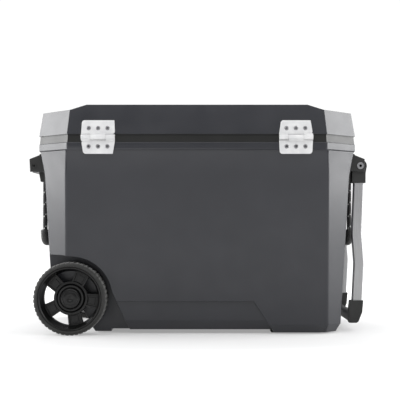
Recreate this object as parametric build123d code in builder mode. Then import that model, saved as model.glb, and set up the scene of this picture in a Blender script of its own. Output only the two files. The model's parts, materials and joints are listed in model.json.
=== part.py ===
from build123d import *
from math import cos, pi, radians, sin
import os

# A hard-sided cooler on two wheels, with a swing-up tow handle at the other end and a rope
# handle under the rim at both ends. Millimetres. +Z is up, +Y is the latch side, -Y the hinge
# side, +X the tow handle's end. The origin is on the ground under the middle of the cooler.

os.makedirs("parts", exist_ok=True)

# ---- driving dimensions -------------------------------------------------------------------
RIM_X, RIM_Y, RIM_CUT = 343.0, 215.0, 69.5      # half length, half width and corner cut at the rim
RIM_BOTTOM, RIM_TOP = 390.0, 407.0
BODY_BOTTOM = 3.0                               # underside of the body, on its rubber pads
WALL = 4.0                                      # outer skin
LINER = 3.0                                     # inner skin

# half length, half width and corner cut of the body at each height
BODY_LEVELS = [
    (BODY_BOTTOM, 300.5, 172.5, 27.0),
    (20.0, 310.0, 183.0, 31.5),
    (340.0, 330.0, 202.0, 51.5),
    (RIM_BOTTOM, 339.8, 211.8, 63.0),
]
LOW_LEVEL, HIGH_LEVEL = BODY_LEVELS[1], BODY_LEVELS[2]
END_SLOPE = (HIGH_LEVEL[1] - LOW_LEVEL[1]) / (HIGH_LEVEL[0] - LOW_LEVEL[0])   # draft of the end walls

# wheels
WHEEL_X, WHEEL_R = -268.0, 77.0
RIM_R, DISH_R = 67.5, 57.5
WHEEL_OUT, WHEEL_IN = 214.0, 158.0              # faces of a wheel, from the middle of the cooler
SPOKES, SPOKE_WIDTH = 5, 27.0
SPOKE_FACE, SPOKE_DEPTH = 187.0, 13.0
AXLE_END, CAP_FACE, CAP_SEAT_R = 192.0, 201.0, 22.0
HUB_R, HUB_RING_R = 28.0, 36.0
AXLE_R, RUNNING = 8.0, 0.05
ARCH_R, ARCH_TOP, WELL_WALL = 88.0, 168.0, 148.0

# inside
CAVITY_LEFT, CAVITY_RIGHT, CAVITY_Y = -298.0, 298.0, 170.0   # at the top
FLOOR_LEFT, FLOOR_RIGHT, FLOOR_Y = -290.0, 288.0, 152.0      # at the floor
FLOOR_Z, STEP_X, STEP_Z = 45.0, -122.0, 192.0
CAVITY_ROUND = 28.0

# lid
BAND_TOP, SKIRT = 422.0, 424.0
LID_TOP, LID_END_TOP = 487.0, 476.0
LID_DRAFT = 8.0
LID_WALL = 4.0
BEVEL_LOW = 464.0                               # long edge where the lid's bevel starts
PLATEAU_X, PLATEAU_Y = 234.0, 167.0
BEVEL_END_X, CORNER_X = 238.0, 267.0            # where the long bevel leaves the edge, and the lid's corner
CUP_R, CUP_DEPTH = 36.0, 12.0
CUP_X, CUP_Y = 176.0, 88.0

# screws: shank, depth in the wall, and radius and height of each sort of head
SCREW_R, SCREW_BITE = 2.2, 3.4
SCREW_HEAD_R, SCREW_HEAD = 4.6, 1.6
LATCH_HEAD_R, LATCH_HEAD = 3.6, 1.4
KEEPER_HEAD_R, KEEPER_HEAD = 3.2, 0.3
FOOT_HEAD_R, FOOT_HEAD = 4.0, 1.2

# hinges
HINGE_X, HINGE_WIDTH = 208.0, 71.0
PIN_Y, PIN_Z, PIN_R = -221.0, 417.0, 2.5
KNUCKLE_R, KNUCKLE_HALF, KNUCKLE_GAP, LEAF = 5.6, 16.0, 0.5, 3.4
LEAF_LOW, LEAF_HIGH = 382.0, 453.0
LID_SCREW_Z, BODY_SCREW_Z, SCREW_STEP = 436.0, 397.5, 19.8
WIDE_TAPER, SLIGHT_TAPER = 4.5, 1.5             # how much a leaf narrows at each side
LID_WALL_DRAFT = LID_DRAFT / (LID_END_TOP - SKIRT)           # inward per unit of height

# latches on the +Y side
LATCH_X, LATCH_WIDTH, LATCH_Z, LATCH_Y = 190.0, 44.0, 440.0, 223.0
MOUNT_PLATE, MOUNT_EAR, LATCH_BARREL_R = 3.0, 5.0, 5.0
MOUNT_SCREW_RISE, MOUNT_SCREW_X, KEEPER_SCREW_X = 12.0, 15.0, 13.0
KEEPER, KEEPER_SCREW_Z = 5.0, 398.0

# carrying gear at both ends
BRACKET, BRACKET_SCREW_Z, BRACKET_SCREWS_Y = 4.0, 333.0, (-48.0, -16.0, 16.0, 48.0)
PIVOT_X, PIVOT_Z, PIVOT_R, PIVOT_BORE_R, PIVOT_HEAD = 356.5, 361.5, 5.5, 3.0, 1.5
EAR_OUT, EAR_IN = 135.0, 129.0
HOUSING_Y, POCKET_STEP, POCKET_WIDTH = 103.0, 39.5, 36.0
ROPE_X, ROPE_Y, ROPE_Z, ROPE_R = 340.0, 75.0, 338.0, 5.25
ANCHOR_R, ANCHOR_HALF = 7.0, 9.5
GRIP_R, GRIP_Z, GRIP_TOP, GRIP_BEND = 10.0, 195.5, 222.0, 21.5
ARM_Y, ARM_SIZE, ARM_WALL = 116.0, 21.0, 2.0
GRIP_END_TOP, GRIP_BOTTOM, SOCKET_HALF = 67.5, 18.5, 12.5

# drain in the +X end
DRAIN_Z, DRAIN_POCKET_R, DRAIN_POCKET_X = 60.0, 20.0, 302.0
SPOUT_R, SPOUT_BORE, CAP_R, DRAIN_INSIDE = 9.0, 6.5, 14.0, 287.0

# rubber pads under the tow handle's end
FOOT_X, FOOT_Y, FOOT_LENGTH, FOOT_WIDTH = 215.0, 128.0, 110.0, 44.0
FOOT_SCREWS_X, FOOT_SEAT = (FOOT_X - 38.0, FOOT_X + 38.0), 0.8


def octagon(half_x, half_y, cut):
    """A rectangle with its corners cut off at 45 degrees, in the sketch that is open."""
    return Polygon(
        (half_x - cut, -half_y), (half_x, cut - half_y), (half_x, half_y - cut), (half_x - cut, half_y),
        (cut - half_x, half_y), (-half_x, half_y - cut), (-half_x, cut - half_y), (cut - half_x, -half_y),
        align=None,
    )


def inset(level, by):
    """The same level with its walls moved inwards."""
    z, half_x, half_y, cut = level
    return z, half_x - by, half_y - by, cut - by * (2 - 2 ** 0.5)


def save(piece, name):
    """Labels a finished piece and writes it."""
    piece.part.label = name
    export_step(piece.part, "parts/" + name + ".step")


def around_wheel(radius, degrees):
    """The point at this radius and angle about the wheels' axis, in the XZ plane."""
    return WHEEL_X + radius * cos(radians(degrees)), WHEEL_R + radius * sin(radians(degrees))


def hinge_screw_planes(upper):
    """One plane on a leaf's face for each of its six screws, pointing out of the wall."""
    z = LID_SCREW_Z if upper else BODY_SCREW_Z
    lean = LID_WALL_DRAFT if upper else 0.0
    y = -RIM_Y - LEAF + lean * max(z - SKIRT, 0)
    return [Plane((side * HINGE_X + i * SCREW_STEP, y, z), z_dir=(0, -1, lean))
            for side in (-1, 1) for i in (-1, 0, 1)]


def foot_screw_planes():
    """One plane under each foot screw, facing down, at the bottom of its counterbore."""
    return [Plane((x, y, BODY_BOTTOM - FOOT_SEAT), z_dir=(0, 0, -1))
            for x in FOOT_SCREWS_X for y in (-FOOT_Y, FOOT_Y)]


def lid_wall_y(z):
    """Where the lid's long wall is at a height."""
    return RIM_Y - LID_WALL_DRAFT * (z - SKIRT)


def end_wall_x(z):
    """Where the end wall of the body is at a height."""
    return LOW_LEVEL[1] + END_SLOPE * (z - LOW_LEVEL[0])


def bracket_screw_planes(side):
    """Planes on the base plate of a handle bracket, pointing out of the end wall."""
    x = end_wall_x(BRACKET_SCREW_Z) + BRACKET
    return [Plane((side * x, y, BRACKET_SCREW_Z), z_dir=(side, 0, -END_SLOPE)) for y in BRACKET_SCREWS_Y]


def keeper_screw_planes():
    """Planes on the two keepers of the latches, pointing out of the rim."""
    return [Plane((side * LATCH_X + dx, RIM_Y + KEEPER, KEEPER_SCREW_Z), z_dir=(0, 1, 0))
            for side in (-1, 1) for dx in (-KEEPER_SCREW_X, KEEPER_SCREW_X)]


def latch_screw_planes():
    """Planes on the two mounts of the latches, pointing out of the lid's front."""
    z = LATCH_Z + MOUNT_SCREW_RISE
    y = lid_wall_y(z) + MOUNT_PLATE
    return [Plane((side * LATCH_X + dx, y, z), z_dir=(0, 1, LID_WALL_DRAFT))
            for side in (-1, 1) for dx in (-MOUNT_SCREW_X, MOUNT_SCREW_X)]


def screws(planes, head_r, head_height, shank):
    """Domed screws, each with its head on its plane and its shank behind it."""
    with BuildPart() as group:
        for plane in planes:
            with BuildSketch(plane):
                Circle(head_r)
            extrude(amount=head_height, taper=35)
            with BuildSketch(plane):
                Circle(SCREW_R)
            extrude(amount=-shank)
    return group


def screw_ways(planes, depth):
    """The holes for the shanks of such screws."""
    with BuildPart() as ways:
        for plane in planes:
            with BuildSketch(plane):
                Circle(SCREW_R)
            extrude(amount=-depth)
    return ways.part


# ---- shapes that cut the body ---------------------------------------------------------------
def wheel_wells(grow):
    """Both wheel wells, each wall moved out by grow."""
    with BuildPart() as wells:
        with BuildSketch(Plane.XZ.offset(WELL_WALL - grow)) as side:
            with BuildLine():
                # the arch runs over the wheel and leaves it in a straight slope to the ground
                foot = (-138.0, BODY_BOTTOM - 8)
                meet = around_wheel(ARCH_R, 9)
                crown = around_wheel(ARCH_R, 84)
                ThreePointArc(meet, around_wheel(ARCH_R, 46), crown)
                Polyline(crown, (WHEEL_X - 20, ARCH_TOP), (-380, ARCH_TOP + 2), (-380, foot[1]), foot, meet)
            make_face()
            if grow:
                offset(amount=grow, kind=Kind.INTERSECTION)
        extrude(amount=120)
        mirror(about=Plane.XZ)
    return wells.part


def underbody_cut(grow):
    """The space under the axle, right across the cooler, with the axle's boss left standing."""
    with BuildPart() as cut:
        with BuildSketch(Plane.XZ):
            Polygon(
                (-380, 107), (-304, 107), (-290, 84), (-258, 58), (-246, 48), (-236, 32), (-224, 9),
                (-213, -6), (-380, -6), align=None,
            )
            with Locations((WHEEL_X, WHEEL_R)):
                Circle(24, mode=Mode.SUBTRACT)
            if grow:
                offset(amount=grow, kind=Kind.INTERSECTION)
        extrude(amount=260, both=True)
    return cut.part


def side_panels(grow):
    """The sunk panels low on both long sides, each wall moved in by grow."""
    with BuildPart() as kept:
        for z, half_y in ((8.5, 164.0), (29.0, 178.5), (345.0, 197.2)):
            with BuildSketch(Plane.XY.offset(z + grow)):
                Rectangle(900, 2 * (half_y - grow))
        loft(ruled=True)
    with BuildPart() as panel:
        with BuildSketch(Plane.XZ):
            Polygon((-185, 70), (120.7, 70), (162, 8), (166, -5), (-185, -5), align=None)
            if grow:
                offset(amount=grow, kind=Kind.INTERSECTION)
        extrude(amount=260, both=True)
        add(kept.part, mode=Mode.SUBTRACT)
    return panel.part


def drain_pocket(grow):
    """The round pocket for the drain in the +X end."""
    with BuildPart() as pocket:
        with BuildSketch(Plane.YZ.offset(DRAIN_POCKET_X - grow)):
            with Locations((0, DRAIN_Z)):
                Circle(DRAIN_POCKET_R + grow)
        extrude(amount=60)
    return pocket.part


def spout_way():
    """The round hole that the drain spout goes through."""
    with BuildPart() as way:
        with BuildSketch(Plane.YZ.offset(250)):
            with Locations((0, DRAIN_Z)):
                Circle(SPOUT_R)
        extrude(amount=90)
    return way.part


def axle_way():
    """The cross hole that the axle lies in."""
    with BuildPart() as way:
        with BuildSketch(Plane.XZ):
            with Locations((WHEEL_X, WHEEL_R)):
                Circle(AXLE_R)
        extrude(amount=240, both=True)
    return way.part


def tub(grow):
    """The cavity with its raised floor over the wheels, each wall moved out by grow."""
    with BuildPart() as room:
        top_mid, top_half = (CAVITY_LEFT + CAVITY_RIGHT) / 2, (CAVITY_RIGHT - CAVITY_LEFT) / 2 + grow
        low_mid, low_half = (FLOOR_LEFT + FLOOR_RIGHT) / 2, (FLOOR_RIGHT - FLOOR_LEFT) / 2 + grow
        with BuildSketch(Plane.XY.offset(FLOOR_Z - grow)):
            with Locations((low_mid, 0)):
                RectangleRounded(2 * low_half, 2 * (FLOOR_Y + grow), CAVITY_ROUND)
        with BuildSketch(Plane.XY.offset(RIM_TOP)):
            with Locations((top_mid, 0)):
                RectangleRounded(2 * top_half, 2 * (CAVITY_Y + grow), CAVITY_ROUND)
        loft(ruled=True)
        with Locations((STEP_X - grow - 150, 0, STEP_Z - grow - 100)):
            Box(300, 2 * CAVITY_Y + 60, 200, mode=Mode.SUBTRACT)
    return room.part


# ---- body: outer skin, foam and cavity liner ------------------------------------------------
def tapered(levels):
    """An octagonal solid through the given levels, with flat walls between them."""
    with BuildPart() as solid:
        for z, half_x, half_y, cut in levels:
            with BuildSketch(Plane.XY.offset(z)):
                octagon(half_x, half_y, cut)
        loft(ruled=True)
    return solid.part


RIM = (RIM_TOP, RIM_X, RIM_Y, RIM_CUT)
rim_levels = [
    (RIM_BOTTOM,) + inset(RIM, 2.0)[1:], (RIM_BOTTOM + 2,) + RIM[1:], (RIM_TOP - 1.5,) + RIM[1:], inset(RIM, 1.5),
]
core_levels = [inset(level, WALL) for level in BODY_LEVELS]
core_levels[0] = (BODY_BOTTOM + WALL,) + core_levels[0][1:]

with BuildPart() as body_core:
    add(tapered(core_levels))
    add(tapered([(RIM_BOTTOM,) + core_levels[-1][1:], (RIM_TOP - WALL,) + inset(RIM, WALL + 1.5)[1:]]))
    for cutter in (wheel_wells(WALL), underbody_cut(WALL), side_panels(WALL), drain_pocket(WALL)):
        add(cutter, mode=Mode.SUBTRACT)

with BuildPart() as body_shell:
    add(tapered(BODY_LEVELS))
    add(tapered(rim_levels))
    for side in (-1, 1):
        add(screw_ways(bracket_screw_planes(side), BRACKET + SCREW_BITE), mode=Mode.SUBTRACT)
    for cutter in (wheel_wells(0), underbody_cut(0), side_panels(0), drain_pocket(0)):
        add(cutter, mode=Mode.SUBTRACT)
    add(body_core.part, mode=Mode.SUBTRACT)
    add(tub(LINER), mode=Mode.SUBTRACT)
    add(axle_way(), mode=Mode.SUBTRACT)
    add(spout_way(), mode=Mode.SUBTRACT)
    add(screw_ways(hinge_screw_planes(False), LEAF + SCREW_BITE), mode=Mode.SUBTRACT)
    add(screw_ways(foot_screw_planes(), FOOT_SEAT + SCREW_BITE), mode=Mode.SUBTRACT)
    add(screw_ways(keeper_screw_planes(), KEEPER + SCREW_BITE), mode=Mode.SUBTRACT)
save(body_shell, "body_shell")

with BuildPart() as body_insulation:
    add(body_core.part)
    add(tub(LINER), mode=Mode.SUBTRACT)
    add(axle_way(), mode=Mode.SUBTRACT)
    add(spout_way(), mode=Mode.SUBTRACT)
save(body_insulation, "body_insulation")

with BuildPart() as cavity_liner:
    add(tub(LINER))
    add(tub(0), mode=Mode.SUBTRACT)
    add(spout_way(), mode=Mode.SUBTRACT)
save(cavity_liner, "cavity_liner")

# ---- lid ------------------------------------------------------------------------------------
def lid_level(z, by):
    """The lid's outline at a height, its walls moved inwards."""
    lean = LID_WALL_DRAFT * (z - SKIRT)
    return (z,) + inset((0, RIM_X - lean, RIM_Y - lean, RIM_CUT - 0.35 * lean), by)[1:]


def above_crown(drop):
    """The space above the lid's top, lowered by drop: the top is flat and falls to both ends."""
    with BuildPart() as above:
        with BuildSketch(Plane.XZ):
            with BuildLine():
                Polyline((0, LID_TOP - drop), (PLATEAU_X, LID_TOP - drop), (CORNER_X, LID_END_TOP - drop),
                         (360, LID_END_TOP - 1.5 - drop), (360, 530), (0, 530), close=True)
            make_face()
            mirror(about=Plane.YZ)
        extrude(amount=260, both=True)
    return above.part


def above_bevels(drop):
    """The space above the two long bevels, whose ends run out into the lid's corners."""
    edge = RIM_Y - LID_WALL_DRAFT * (BEVEL_LOW - SKIRT)
    fall = (LID_TOP - BEVEL_LOW) / (edge - PLATEAU_Y)
    run_out = (CORNER_X - BEVEL_END_X) / (LID_END_TOP - BEVEL_LOW)
    with BuildPart() as above:
        with BuildSketch(Plane.YZ):
            with BuildLine():
                Polyline((PLATEAU_Y, LID_TOP - drop), (edge + 20, BEVEL_LOW - 20 * fall - drop),
                         (edge + 20, 530), (PLATEAU_Y, 530), close=True)
            make_face()
            mirror(about=Plane.XZ)
        extrude(amount=350, both=True)
        with BuildSketch(Plane.XZ):
            low, high = BEVEL_END_X - 20 * run_out, BEVEL_END_X + 60 * run_out
            Polygon((-low, BEVEL_LOW - 20 - drop), (low, BEVEL_LOW - 20 - drop), (high, BEVEL_LOW + 60 - drop),
                    (-high, BEVEL_LOW + 60 - drop), align=None)
        extrude(amount=260, both=True, mode=Mode.INTERSECT)
    return above.part


def lid_form(by):
    """The lid's outer form, its walls and top moved inwards."""
    with BuildPart() as form:
        add(tapered([lid_level(SKIRT, by), lid_level(LID_TOP + 5, by)]))
        add(above_crown(by), mode=Mode.SUBTRACT)
        add(above_bevels(by), mode=Mode.SUBTRACT)
    return form.part


def drink_holders(grow):
    """The four round drink holders sunk in the lid's top."""
    with BuildPart() as cups:
        with BuildSketch(Plane.XY.offset(LID_TOP - CUP_DEPTH - grow)):
            with GridLocations(2 * CUP_X, 2 * CUP_Y, 2, 2):
                Circle(CUP_R + grow)
        extrude(amount=CUP_DEPTH + grow + 10)
    return cups.part


with BuildPart() as lid_insulation:
    add(lid_form(LID_WALL))
    add(drink_holders(LID_WALL), mode=Mode.SUBTRACT)
save(lid_insulation, "lid_insulation")

with BuildPart() as lid_shell:
    add(lid_form(0))
    add(drink_holders(0), mode=Mode.SUBTRACT)
    add(lid_insulation.part, mode=Mode.SUBTRACT)
    add(screw_ways(hinge_screw_planes(True), LEAF + SCREW_BITE), mode=Mode.SUBTRACT)
    add(screw_ways(latch_screw_planes(), MOUNT_PLATE + SCREW_BITE), mode=Mode.SUBTRACT)
save(lid_shell, "lid_shell")

# the dark tray closes the lid from below; its edge is the band that shows between lid and body
TRAY_FLOOR, PLUG_GAP, PLUG_DEPTH = 3.0, 5.0, 9.0
GASKET_OUT, GASKET_WIDTH, GASKET_DEPTH = 14.0, 9.0, 5.0


def gasket_ring(depth):
    """The rounded frame that the seal fills, from the lid's underside upwards."""
    with BuildPart() as ring:
        with BuildSketch(Plane.XY.offset(RIM_TOP)):
            RectangleRounded(2 * (CAVITY_RIGHT + GASKET_OUT), 2 * (CAVITY_Y + GASKET_OUT), 30)
            RectangleRounded(2 * (CAVITY_RIGHT + GASKET_OUT - GASKET_WIDTH),
                             2 * (CAVITY_Y + GASKET_OUT - GASKET_WIDTH), 22, mode=Mode.SUBTRACT)
        extrude(amount=depth)
    return ring.part


with BuildPart() as lid_liner:
    add(tapered([inset(RIM, 1.5), (BAND_TOP,) + inset(RIM, 3.0)[1:], (SKIRT,) + inset(RIM, 3.0)[1:]]))
    with BuildSketch(Plane.XY.offset(RIM_TOP - PLUG_DEPTH)):
        RectangleRounded(2 * (CAVITY_RIGHT - PLUG_GAP), 2 * (CAVITY_Y - PLUG_GAP), 24)
    extrude(amount=PLUG_DEPTH)
    with BuildSketch(Plane.XY.offset(RIM_TOP - PLUG_DEPTH + TRAY_FLOOR)):
        RectangleRounded(2 * (CAVITY_RIGHT - PLUG_GAP - TRAY_FLOOR), 2 * (CAVITY_Y - PLUG_GAP - TRAY_FLOOR), 21)
    extrude(amount=60, mode=Mode.SUBTRACT)
    add(gasket_ring(GASKET_DEPTH), mode=Mode.SUBTRACT)
save(lid_liner, "lid_liner")

with BuildPart() as lid_gasket:
    add(gasket_ring(GASKET_DEPTH))
save(lid_gasket, "lid_gasket")

with BuildPart() as tray_insulation:
    with BuildSketch(Plane.XY.offset(RIM_TOP - PLUG_DEPTH + TRAY_FLOOR)):
        RectangleRounded(2 * (CAVITY_RIGHT - PLUG_GAP - TRAY_FLOOR), 2 * (CAVITY_Y - PLUG_GAP - TRAY_FLOOR), 21)
    extrude(amount=SKIRT - (RIM_TOP - PLUG_DEPTH + TRAY_FLOOR))
save(tray_insulation, "tray_insulation")

# ---- hinges ---------------------------------------------------------------------------------
def leaf_outline(upper, narrow):
    """Half of a hinge as seen from behind: the upper or lower leaf, its far end narrowed."""
    low, high = (PIN_Z + KNUCKLE_R + 0.6, LEAF_HIGH) if upper else (LEAF_LOW, PIN_Z - KNUCKLE_R - 0.6)
    far, near = (high, low) if upper else (low, high)
    half = HINGE_WIDTH / 2
    with BuildSketch(Plane.XZ) as outline:
        Polygon((-half, near), (half, near), (half - narrow, far), (narrow - half, far), align=None)
        fillet(outline.vertices().sort_by(Axis.Z)[-2:] if upper else outline.vertices().sort_by(Axis.Z)[:2], 6)
    return outline.sketch


def leaf(upper, centre_knuckle, narrow):
    """A hinge leaf at x = 0 with its knuckles and three countersunk screw holes."""
    half = HINGE_WIDTH / 2
    spans = [(-KNUCKLE_HALF, KNUCKLE_HALF)]
    if not centre_knuckle:
        spans = [(-half, -KNUCKLE_HALF - KNUCKLE_GAP), (KNUCKLE_HALF + KNUCKLE_GAP, half)]
    side = 1 if upper else -1
    with BuildPart() as piece:
        # plate between two planes parallel to the wall that it lies on
        lean = LID_WALL_DRAFT if upper else 0.0
        with BuildSketch(Plane.YZ):
            with BuildLine():
                low, high = (PIN_Z + 3, LEAF_HIGH) if upper else (LEAF_LOW, PIN_Z - 3)
                back_low = -RIM_Y + lean * max(low - SKIRT, 0)
                back_high = -RIM_Y + lean * max(high - SKIRT, 0)
                knee = [(-RIM_Y, SKIRT)] if upper else []
                face = [(-RIM_Y - LEAF, SKIRT)] if upper else []
                Polyline((back_low, low), *knee, (back_high, high), (back_high - LEAF, high), *face,
                         (back_low - LEAF, low), close=True)
            make_face()
        extrude(amount=HINGE_WIDTH / 2, both=True)
        extrude(leaf_outline(upper, narrow), amount=260, mode=Mode.INTERSECT)
        # web and knuckles
        for start, end in spans:
            with BuildSketch(Plane.YZ.offset(start)):
                with Locations((PIN_Y, PIN_Z)):
                    Circle(KNUCKLE_R)
                with BuildLine():
                    top = PIN_Z + side * (KNUCKLE_R + 2.5)
                    Polyline((-RIM_Y - LEAF - 0.6, top), (-RIM_Y, top), (-RIM_Y, PIN_Z), (PIN_Y, PIN_Z),
                             (PIN_Y - KNUCKLE_R + 1, PIN_Z + side * 2), close=True)
                make_face()
            extrude(amount=end - start)
        bore = PIN_R + RUNNING if upper else PIN_R
        with BuildSketch(Plane.YZ):
            with Locations((PIN_Y, PIN_Z)):
                Circle(bore)
        extrude(amount=60, both=True, mode=Mode.SUBTRACT)
    return piece.part


for side, name, centre_on_lid in ((-1, "left", True), (1, "right", False)):
    for upper, part_name in ((True, "hinge_lid_leaf_"), (False, "hinge_body_leaf_")):
        with BuildPart() as hinge_leaf:
            with Locations((side * HINGE_X, 0, 0)):
                centre = upper == centre_on_lid
                add(leaf(upper, centre, SLIGHT_TAPER if centre else WIDE_TAPER))
            add(screw_ways(hinge_screw_planes(upper), LEAF + 1), mode=Mode.SUBTRACT)
        save(hinge_leaf, part_name + name)
    with BuildPart() as hinge_pin:
        with BuildSketch(Plane.YZ.offset(side * HINGE_X - HINGE_WIDTH / 2)):
            with Locations((PIN_Y, PIN_Z)):
                Circle(PIN_R)
        extrude(amount=HINGE_WIDTH)
    save(hinge_pin, "hinge_pin_" + name)

save(screws(hinge_screw_planes(True), SCREW_HEAD_R, SCREW_HEAD, LEAF + SCREW_BITE), "hinge_lid_screws")
save(screws(hinge_screw_planes(False), SCREW_HEAD_R, SCREW_HEAD, LEAF + SCREW_BITE), "hinge_body_screws")

# ---- latches --------------------------------------------------------------------------------
for side, name in ((-1, "left"), (1, "right")):
    centre = side * LATCH_X
    ear_gap = LATCH_WIDTH / 2 + 0.5
    with BuildPart() as latch_mount:
        # a plate on the lid's wall with an ear at each side of the lever
        low, high = SKIRT + 1, LATCH_Z + 20
        with BuildSketch(Plane.YZ.offset(centre)):
            with BuildLine():
                y_low, y_high = lid_wall_y(low), lid_wall_y(high)
                Polyline((y_low, low), (y_high, high), (y_high + MOUNT_PLATE, high),
                         (y_low + MOUNT_PLATE, low), close=True)
            make_face()
        extrude(amount=ear_gap + MOUNT_EAR, both=True)
        for start in (-ear_gap - MOUNT_EAR, ear_gap):
            with BuildSketch(Plane.YZ.offset(centre + start)):
                with Locations((LATCH_Y, LATCH_Z)):
                    Circle(LATCH_BARREL_R + 1)
                Polygon((lid_wall_y(SKIRT + 4), SKIRT + 4), (LATCH_Y, LATCH_Z - LATCH_BARREL_R - 1),
                        (LATCH_Y, LATCH_Z + LATCH_BARREL_R + 1), (lid_wall_y(LATCH_Z + 18), LATCH_Z + 18),
                        align=None)
            extrude(amount=MOUNT_EAR)
        with BuildSketch(Plane.YZ.offset(centre)):
            with Locations((LATCH_Y, LATCH_Z)):
                Circle(PIN_R)
        extrude(amount=60, both=True, mode=Mode.SUBTRACT)
        add(screw_ways(latch_screw_planes(), MOUNT_PLATE + 1), mode=Mode.SUBTRACT)
    save(latch_mount, "latch_mount_" + name)

    with BuildPart() as latch_lever:
        with BuildSketch(Plane.YZ.offset(centre - LATCH_WIDTH / 2)):
            with Locations((LATCH_Y, LATCH_Z)):
                Circle(LATCH_BARREL_R)
            # the lever hangs over the keeper and its foot turns in under it
            Polygon((LATCH_Y - 1.5, LATCH_Z), (LATCH_Y + LATCH_BARREL_R, LATCH_Z), (LATCH_Y + 5.0, 398),
                    (LATCH_Y + 5.5, 372), (LATCH_Y + 1.5, 368), (LATCH_Y - 0.5, 372), (LATCH_Y - 2.4, 386),
                    (LATCH_Y - 2.4, 408), align=None)
        extrude(amount=LATCH_WIDTH)
        with BuildSketch(Plane.YZ.offset(centre - 60)):
            with Locations((LATCH_Y, LATCH_Z)):
                Circle(PIN_R + RUNNING)
        extrude(amount=120, mode=Mode.SUBTRACT)
    save(latch_lever, "latch_lever_" + name)

    with BuildPart() as latch_keeper:
        with BuildSketch(Plane.XZ.offset(-RIM_Y)):
            with Locations((centre, KEEPER_SCREW_Z - 0.5)):
                RectangleRounded(40, 15, 3)
        extrude(amount=-KEEPER)
        add(screw_ways(keeper_screw_planes(), KEEPER + 1), mode=Mode.SUBTRACT)
    save(latch_keeper, "latch_keeper_" + name)

with BuildPart() as latch_pins:
    with BuildSketch(Plane.YZ.offset(LATCH_X - LATCH_WIDTH / 2 - 0.5 - MOUNT_EAR)):
        with Locations((LATCH_Y, LATCH_Z)):
            Circle(PIN_R)
    extrude(amount=LATCH_WIDTH + 1 + 2 * MOUNT_EAR)
    mirror(about=Plane.YZ)
save(latch_pins, "latch_pins")

save(screws(latch_screw_planes(), LATCH_HEAD_R, LATCH_HEAD, MOUNT_PLATE + SCREW_BITE), "latch_screws")
save(screws(keeper_screw_planes(), KEEPER_HEAD_R, KEEPER_HEAD, KEEPER + SCREW_BITE), "keeper_screws")

# ---- carrying gear --------------------------------------------------------------------------
def pivot_bore(radius):
    """A hole along the pivots of the tow handle."""
    with BuildPart() as bore:
        with BuildSketch(Plane.XZ):
            with Locations((PIVOT_X, PIVOT_Z)):
                Circle(radius)
        extrude(amount=200, both=True)
    return bore.part


with BuildPart() as bracket:
    # base plate on the flared end wall
    plate = [(end_wall_x(322), 322), (end_wall_x(340), 340), (339.6, 388), (344.5, 386),
             (end_wall_x(346) + BRACKET, 346), (end_wall_x(322) + BRACKET, 322)]
    with BuildSketch(Plane.XZ):
        Polygon(*plate, align=None)
    extrude(amount=EAR_OUT, both=True)
    # housing in the middle and an ear at each side, all of one outline
    outline = [(340, 386), (342, 385.5), (366, 376), (364.5, 348), (334, 350), (333, 348)]
    for start, end in ((-EAR_OUT, -EAR_IN), (-HOUSING_Y, HOUSING_Y), (EAR_IN, EAR_OUT)):
        with BuildSketch(Plane.XZ.offset(-end)):
            Polygon(*outline, align=None)
        extrude(amount=end - start)
    # the housing is hollow from below, with two ribs between its three pockets
    for centre in (-POCKET_STEP, 0, POCKET_STEP):
        with BuildSketch(Plane.XZ.offset(-centre - POCKET_WIDTH / 2)):
            Polygon((341, 340), (341.5, 372), (347, 376), (360, 371), (359, 340), align=None)
        extrude(amount=POCKET_WIDTH, mode=Mode.SUBTRACT)
    # rope lugs
    for y in (-ROPE_Y, ROPE_Y):
        with BuildSketch(Plane.XZ.offset(-y - 15)):
            Polygon((333.5, 352), (330.5, 328), (348.5, 328), (353, 352), align=None)
        extrude(amount=30)
    for y in (-ROPE_Y, ROPE_Y):
        with BuildSketch(Plane.XZ.offset(-y - ANCHOR_HALF - 0.3)):
            with Locations((ROPE_X, ROPE_Z)):
                Circle(ANCHOR_R + RUNNING)
        extrude(amount=2 * ANCHOR_HALF + 0.6, mode=Mode.SUBTRACT)
        with BuildSketch(Plane.XZ.offset(-y - ROPE_R - 0.6)):
            half = ROPE_R + 0.6
            Polygon((ROPE_X - half, 320), (ROPE_X - half, ROPE_Z), (ROPE_X, ROPE_Z + half + 1),
                    (375, ROPE_Z + half + 1), (375, 320), align=None)
        extrude(amount=2 * ROPE_R + 1.2, mode=Mode.SUBTRACT)
    add(pivot_bore(PIVOT_R), mode=Mode.SUBTRACT)

with BuildPart() as rope_anchors:
    for y in (-ROPE_Y, ROPE_Y):
        with BuildSketch(Plane.XZ.offset(-y - ANCHOR_HALF)):
            with Locations((ROPE_X, ROPE_Z)):
                Circle(ANCHOR_R)
        extrude(amount=2 * ANCHOR_HALF)
        with Locations((ROPE_X, y, ROPE_Z - 6)):
            Cylinder(ROPE_R, 12, align=(Align.CENTER, Align.CENTER, Align.CENTER), mode=Mode.SUBTRACT)

rope_corners = [(-ROPE_Y, ROPE_Z), (-ROPE_Y, GRIP_Z), (ROPE_Y, GRIP_Z), (ROPE_Y, ROPE_Z)]
with BuildPart() as rope:
    with BuildLine(Plane.YZ.offset(ROPE_X)) as rope_path:
        FilletPolyline(*rope_corners, radius=GRIP_BEND)
    with BuildSketch(Plane((ROPE_X, -ROPE_Y, ROPE_Z), z_dir=(0, 0, -1))):
        Circle(ROPE_R)
    sweep()
rope_length = sum(edge.length for edge in rope_path.edges())
print("rope: bends of", GRIP_BEND, "length", round(rope_length, 1),
      "volume", round(rope.part.volume), "section x length", round(pi * ROPE_R ** 2 * rope_length))

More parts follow.
